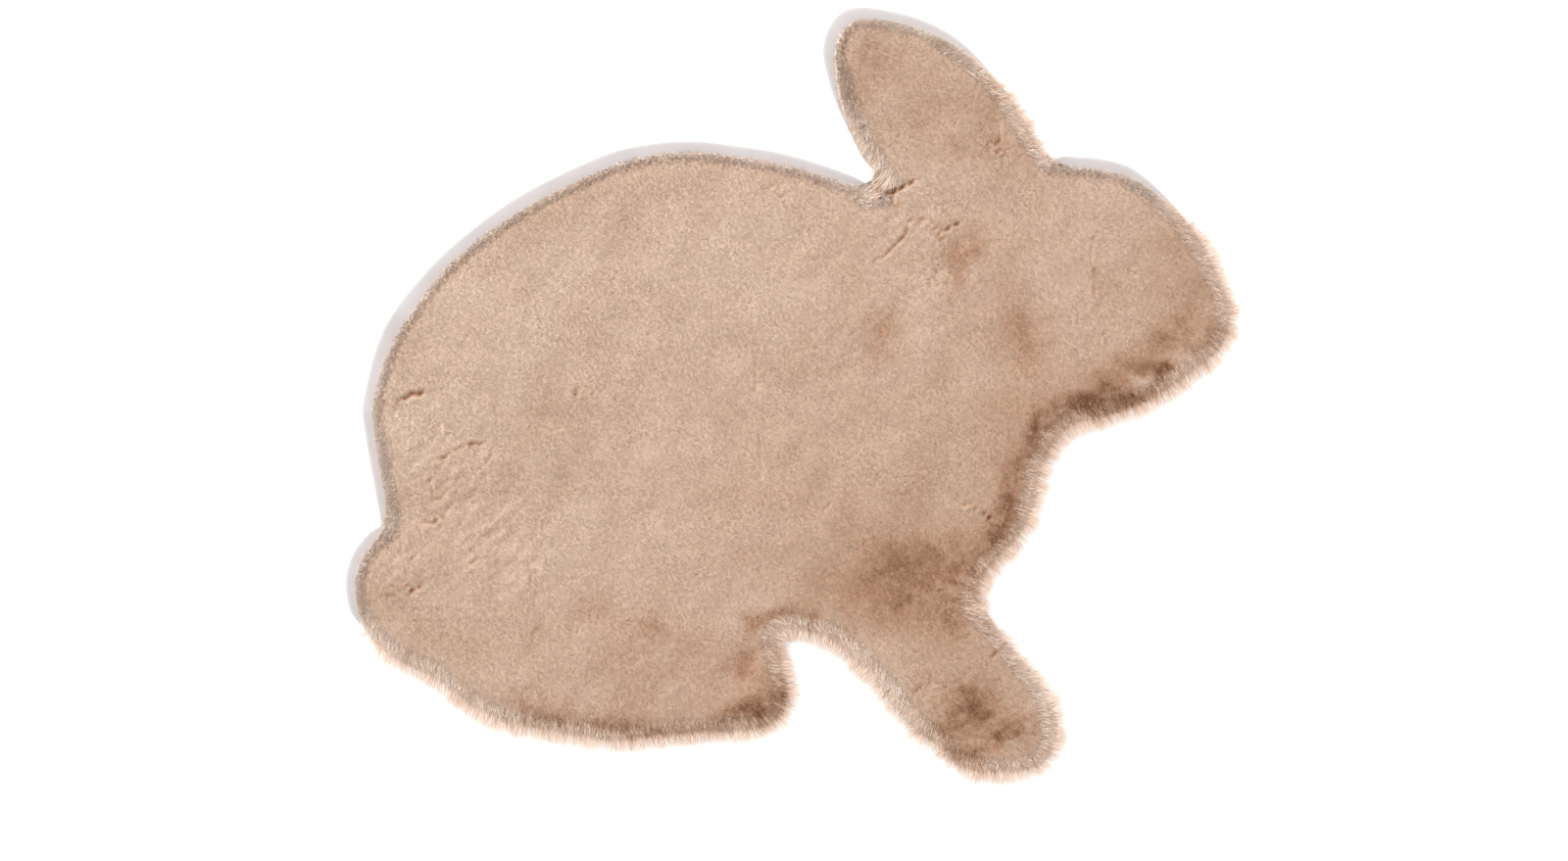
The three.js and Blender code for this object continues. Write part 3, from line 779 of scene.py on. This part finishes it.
def short_pile(name, roots, tips, width, lean, shade):
    """One mesh of three-cornered fibres, lighter at their tips."""
    count = len(roots)
    across = lean + random.normal(0, 0.25, lean.shape)
    side = crosswise(across, random.uniform(-0.7, 0.7, count)) * (width / 2)[:, None]
    rise = np.cross((tips - roots)[:, :2], side[:, :2])
    side *= np.sign(rise)[:, None]  # every fibre shows its front to the top
    vertices = np.stack([roots - side, tips, roots + side], 1).reshape(-1, 3)
    shades = np.stack([shade + ROOT_SHADE, shade + TIP_SHADE, shade + ROOT_SHADE], 1).ravel()
    piece = mesh_object(name, vertices, np.arange(count * 3), np.full(count, 3))
    give_normals(piece, np.repeat(pile_normals(roots[:, :2], lean), 3, axis=0))
    give_values(piece, "shade", shades)
    lay_flat_map(piece)
    return piece


def fringe(name, per_tuft):
    """Longer bent fibres at the rim that hang out over the edge and settle on the floor."""
    tufts, _ = tufts_over(FRINGE_PITCH, BARE_RIM + 0.5)
    depth = DEPTH.at(tufts)
    facing = outward_at(tufts) @ NAP
    wanted = depth < BARE_RIM + np.where(facing > -0.5, FRINGE_BAND, FUZZ_BAND)
    tufts, depth, facing = tufts[wanted], depth[wanted], facing[wanted]
    # Where the pile leans inward, only a short fuzz stands out over the bare rim.
    fuzz = eased(facing, -0.35, -0.6)[:, None]
    lean = lean_at(tufts) * (1 - fuzz) + outward_at(tufts) * fuzz
    height = RELIEF.at(tufts)
    strength = eased(facing, -0.6, 0.25)
    reach = (FUZZ_REACH + FRINGE_REACH * strength) * (1 + 0.14 * soft_noise(tufts, 9, 21))
    reach += 0.4 * (depth - BARE_RIM)
    lock_turn = 0.4 * soft_noise(tufts, 11, 22)
    tuft_tone, fibre_tone = FRINGE_TONES
    tone = random.normal(0, tuft_tone, len(tufts)) + STREAK_SHADE * streak_at(tufts)
    own = np.repeat(np.arange(len(tufts)), per_tuft)

    # Each fibre is a root, a middle and a tip.
    count = len(own)
    turn = lock_turn[own] + random.normal(0, 0.12, count)
    heading = turned(lean[own], turn)
    spread = random.normal(0, 1.0, (count, 2))
    length = reach[own] * (0.1 + 1.15 * random.random(count) ** FRINGE_SKEW)
    length = np.minimum(length, depth[own] + FRINGE_LIMIT)
    root = tufts[own] + spread
    bed = np.maximum(bed_height(root, height[own]), GROUND_LEVEL + 0.5)
    middle = root + heading * (length * 0.6)[:, None]
    tip = tufts[own] + spread * 0.5 + heading * length[:, None]
    out = eased(DEPTH.at(tip), FRINGE_EDGE, 2)
    rest = random.uniform(0.3, 3.2, count)  # levels of the tips that lie on the floor
    middle_level = np.maximum(bed + 1.5 - 0.45 * bed * out + rest * 0.5, 0.6)
    least = GROUND_LEVEL + 2 * GROUND_THICKNESS
    tip_level = np.where(out > 0.5, rest, np.maximum(bed * 0.75, least))
    width = random.uniform(*FRINGE_WIDTHS, count)

    root3 = np.column_stack([root, bed - 0.8])
    middle3 = np.column_stack([middle, middle_level])
    tip3 = np.column_stack([tip, tip_level])
    side = crosswise(heading, random.uniform(-0.6, 0.6, count)) * (width / 2)[:, None]
    vertices = np.stack(
        [root3 - side, root3 + side, middle3 - side * 0.8, middle3 + side * 0.8, tip3], 1
    )
    first = np.arange(count)[:, None] * 5
    faces = (first + np.array([0, 2, 3, 1, 2, 4, 3])).ravel()
    sides = np.tile([4, 3], count)
    piece = mesh_object(name, vertices.reshape(-1, 3), faces, sides)
    give_normals(piece, np.repeat(pile_normals(root, heading), 5, axis=0))
    base = random.normal(0, fibre_tone, count) + tone[own]
    shades = []
    for place in (root, root, middle, middle, tip):
        past_rim = eased(DEPTH.at(place), FRINGE_EDGE, 3)
        share = np.interp(past_rim, (0, 1), FRINGE_DARKNESS)
        shades.append(base + FRINGE_SHADE - share * TONE_AND_PAINTED_SHADE.at(place))
    give_values(piece, "shade", np.stack(shades, 1).ravel())
    lay_flat_map(piece)
    return piece


# Materials


def colour(code):
    """Linear red, green, blue and alpha of an sRGB hex colour."""
    parts = [int(code[k : k + 2], 16) / 255 for k in (1, 3, 5)]
    linear = [c / 12.92 if c <= 0.04045 else ((c + 0.055) / 1.055) ** 2.4 for c in parts]
    return (*linear, 1.0)


def add_node(tree, kind, links=(), **settings):
    """Adds a node. Settings are its own values, or its inputs' values by name; links join
    (output, input name) pairs to it."""
    node = tree.nodes.new(kind)
    for key, value in settings.items():
        socket = node.inputs.get(key.replace("_", " "))
        if hasattr(node, key):
            setattr(node, key, value)
        else:
            socket.default_value = value
    for output, name in links:
        tree.links.new(output, node.inputs[name])
    return node


def new_material(name):
    """An empty material with its shader: (material, node tree, shader)."""
    material = bpy.data.materials.new(name)
    material.use_nodes = True
    tree = material.node_tree
    tree.nodes.clear()
    shader = add_node(tree, "ShaderNodeBsdfPrincipled")
    output = add_node(tree, "ShaderNodeOutputMaterial")
    tree.links.new(shader.outputs["BSDF"], output.inputs["Surface"])
    return material, tree, shader


def set_ramp(ramp, stops):
    """Sets a colour ramp's stops from (place, hex colour) pairs."""
    elements = ramp.color_ramp.elements
    while len(elements) < len(stops):
        elements.new(0.5)
    for element, (place, code) in zip(elements, stops):
        element.position = place
        element.color = colour(code)


def noise_over(tree, per_metre, detail):
    """Noise over the piece with about this many blots to the metre."""
    place = add_node(tree, "ShaderNodeTexCoord")
    links = [(place.outputs["Object"], "Vector")]
    return add_node(tree, "ShaderNodeTexNoise", links, Scale=per_metre, Detail=detail)


# Shades and their colours, from the brown depths of the pile to its cream tips
FUR_TONES = [
    (0.0, "#68452F"),
    (0.3, "#9E7C65"),
    (0.56, "#BCA696"),
    (0.75, "#C8B3A6"),
    (1.0, "#F0E0D5"),
]

# The fibres of the rim stand apart and shade one another, so they get a paler copy of the fur
# colours, painted light that makes up for that shade and gives them the look of the pile.
RIM_TONES = [
    (0.0, "#7A553C"),
    (0.2, "#B48E74"),
    (0.4, "#DABFAD"),
    (0.6, "#EFE0D5"),
    (1.0, "#F8F0EA"),
]

DYE_CLOUDS = 9.0  # per metre, so each is about 11 cm wide
CLOTH_CLOUDS = 22.0  # per metre, so each is about 45 mm wide
CLOTH_GRAINS = 900.0  # per metre: real felt is finer than these 1.1 mm, but that wouldn't show


def fur_material(name, roughness, tones):
    """Dyed imitation-rabbit fibre. A ramp turns each fibre's shade into its colour, and slow
    noise warms and cools the dye a little."""
    material, tree, shader = new_material(name)
    shade = add_node(tree, "ShaderNodeAttribute", attribute_name="shade")
    ramp = add_node(tree, "ShaderNodeValToRGB", [(shade.outputs["Fac"], "Fac")])
    set_ramp(ramp, tones)
    slow = noise_over(tree, DYE_CLOUDS, 2.0)
    tint = add_node(tree, "ShaderNodeValToRGB", [(slow.outputs["Fac"], "Fac")])
    set_ramp(tint, [(0.3, "#FFFAF6"), (0.7, "#FFFCF6")])
    mixed = add_node(tree, "ShaderNodeMix", data_type="RGBA", blend_type="MULTIPLY")
    mixed.inputs["Factor"].default_value = 1.0
    tree.links.new(ramp.outputs["Color"], mixed.inputs["A"])
    tree.links.new(tint.outputs["Color"], mixed.inputs["B"])
    tree.links.new(mixed.outputs["Result"], shader.inputs["Base Color"])
    shader.inputs["Roughness"].default_value = roughness
    shader.inputs["Specular IOR Level"].default_value = 0.2
    return material


def backing_material():
    """Brushed polyester suede: fine felted grain over faint clouding, almost without shine, and a
    border painted slightly paler, as painted light at the cut edge."""
    material, tree, shader = new_material("brushed_suede_backing")
    cloud = noise_over(tree, CLOTH_CLOUDS, 3.0)
    ramp = add_node(tree, "ShaderNodeValToRGB", [(cloud.outputs["Fac"], "Fac")])
    set_ramp(ramp, [(0.3, "#AEA9A9"), (0.7, "#B7B2B2")])
    # Painted light: the border is drawn paler toward the cut edge
    edge = add_node(tree, "ShaderNodeAttribute", attribute_name="edge")
    mixed = add_node(tree, "ShaderNodeMix", [(edge.outputs["Fac"], "Factor")], data_type="RGBA")
    tree.links.new(ramp.outputs["Color"], mixed.inputs["A"])
    mixed.inputs["B"].default_value = colour("#BAB6B6")
    tree.links.new(mixed.outputs["Result"], shader.inputs["Base Color"])
    grain = noise_over(tree, CLOTH_GRAINS, 3.0)
    bump = add_node(
        tree, "ShaderNodeBump", [(grain.outputs["Fac"], "Height")], Strength=0.35, Distance=0.0004
    )
    tree.links.new(bump.outputs["Normal"], shader.inputs["Normal"])
    shader.inputs["Roughness"].default_value = 0.88
    shader.inputs["Specular IOR Level"].default_value = 0.25
    shader.inputs["Sheen Weight"].default_value = 0.2
    return material


def floor_material():
    """Plain pale floor: matt white paint with no pattern."""
    material, _, shader = new_material("pale_floor")
    shader.inputs["Base Color"].default_value = colour("#F8F8F8")
    shader.inputs["Roughness"].default_value = 0.9
    return material


# Pieces


def wear(piece, material):
    """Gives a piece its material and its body."""
    piece.data.materials.append(material)
    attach(piece, "root")
    return piece


def make_backing():
    """The backing, drawn in from the outline where the pile hides its rim."""
    facing = eased(loop_normals(RIM) @ NAP, -0.7, 0.7)
    for _ in range(6):
        facing = (np.roll(facing, 1) + facing + np.roll(facing, -1)) / 3
    rim = RIM - loop_normals(RIM) * (BACKING_INSET * facing)[:, None]
    piece = slab(
        "backing_sheet", rim, 0.0, BACKING_THICKNESS, BACKING_ROUNDING, BACKING_BORDER
    )
    wear(piece, backing_material())
    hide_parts("backing")
    return piece


def make_pile(backing):
    """The pile bed, with the short fibres in four regions from tail to nose, and the fringe."""
    bed = wear(pile_bed(), fur_material("packed_pile_fibre", 0.95, FUR_TONES))
    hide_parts("pile")
    fibre = fur_material("loose_pile_fibre", 0.75, FUR_TONES)
    fibres = short_fibres(per_tuft=11, extra_at_rim=8)
    order = np.argsort(fibres[0][:, 0])
    regions = ("rump", "flank", "shoulder", "head")
    for name, chosen in zip(regions, np.array_split(order, len(regions))):
        piece = short_pile(f"pile_{name}", *(values[chosen] for values in fibres))
        wear(piece, fibre)
    # Paler copy of the fur colours, as painted light, for the rim's loose fibres
    rim_fibre = fur_material("loose_rim_fibre", 0.75, RIM_TONES)
    wear(fringe("pile_fringe", per_tuft=10), rim_fibre)


# Floor, light and camera, in metres and watts

FLOOR_SIZE = 12.0
SKY_STRENGTH = 1.48

Lamp = namedtuple("Lamp", "name place size power")
LAMPS = [
    Lamp("key_top_left", (-2.4, 2.7, 3.4), 1.8, 111.0),
    Lamp("fill_right", (2.4, -1.2, 2.6), 2.5, 16.5),
]

# The camera looks straight down. The frame is 1600 pixels wide, and the rug's box is 915.5 of
# them long, with its middle 7.3 pixels right of and 37 above the frame's.
CAMERA_HEIGHT = 3.0
PIXEL = 0.900 / 915.5
FIELD_WIDTH = 1600 * PIXEL
CAMERA_PLACE = (-7.3 * PIXEL, -37.0 * PIXEL)


def make_stage():
    """A pale floor under an even sky, with a soft key light at the top left and a weak fill."""
    bpy.ops.mesh.primitive_plane_add(size=FLOOR_SIZE, location=(0, 0, 0))
    floor = bpy.context.object
    floor.name = "floor"
    floor.data.materials.append(floor_material())

    world = bpy.data.worlds.new("soft_studio")
    bpy.context.scene.world = world
    world.use_nodes = True
    sky = world.node_tree.nodes["Background"]
    sky.inputs["Color"].default_value = (1, 1, 1, 1)
    sky.inputs["Strength"].default_value = SKY_STRENGTH
    for lamp in LAMPS:
        data = bpy.data.lights.new(lamp.name, "AREA")
        data.shape = "SQUARE"
        data.size = lamp.size
        data.energy = lamp.power
        light = bpy.data.objects.new(lamp.name, data)
        light.location = lamp.place
        aim = -light.location
        light.rotation_euler = aim.to_track_quat("-Z", "Y").to_euler()
        bpy.context.scene.collection.objects.link(light)
    bpy.context.scene.view_settings.view_transform = "Standard"


def make_camera():
    """The camera straight above, which holds the photograph's frame at the pile's top."""
    data = bpy.data.cameras.new("overhead")
    data.sensor_width = 36.0
    data.lens = data.sensor_width * (CAMERA_HEIGHT - PILE_TOP * MM) / FIELD_WIDTH
    camera = bpy.data.objects.new("overhead", data)
    camera.location = (*CAMERA_PLACE, CAMERA_HEIGHT)
    bpy.context.scene.collection.objects.link(camera)
    bpy.context.scene.camera = camera


make_stage()
make_camera()
make_pile(make_backing())
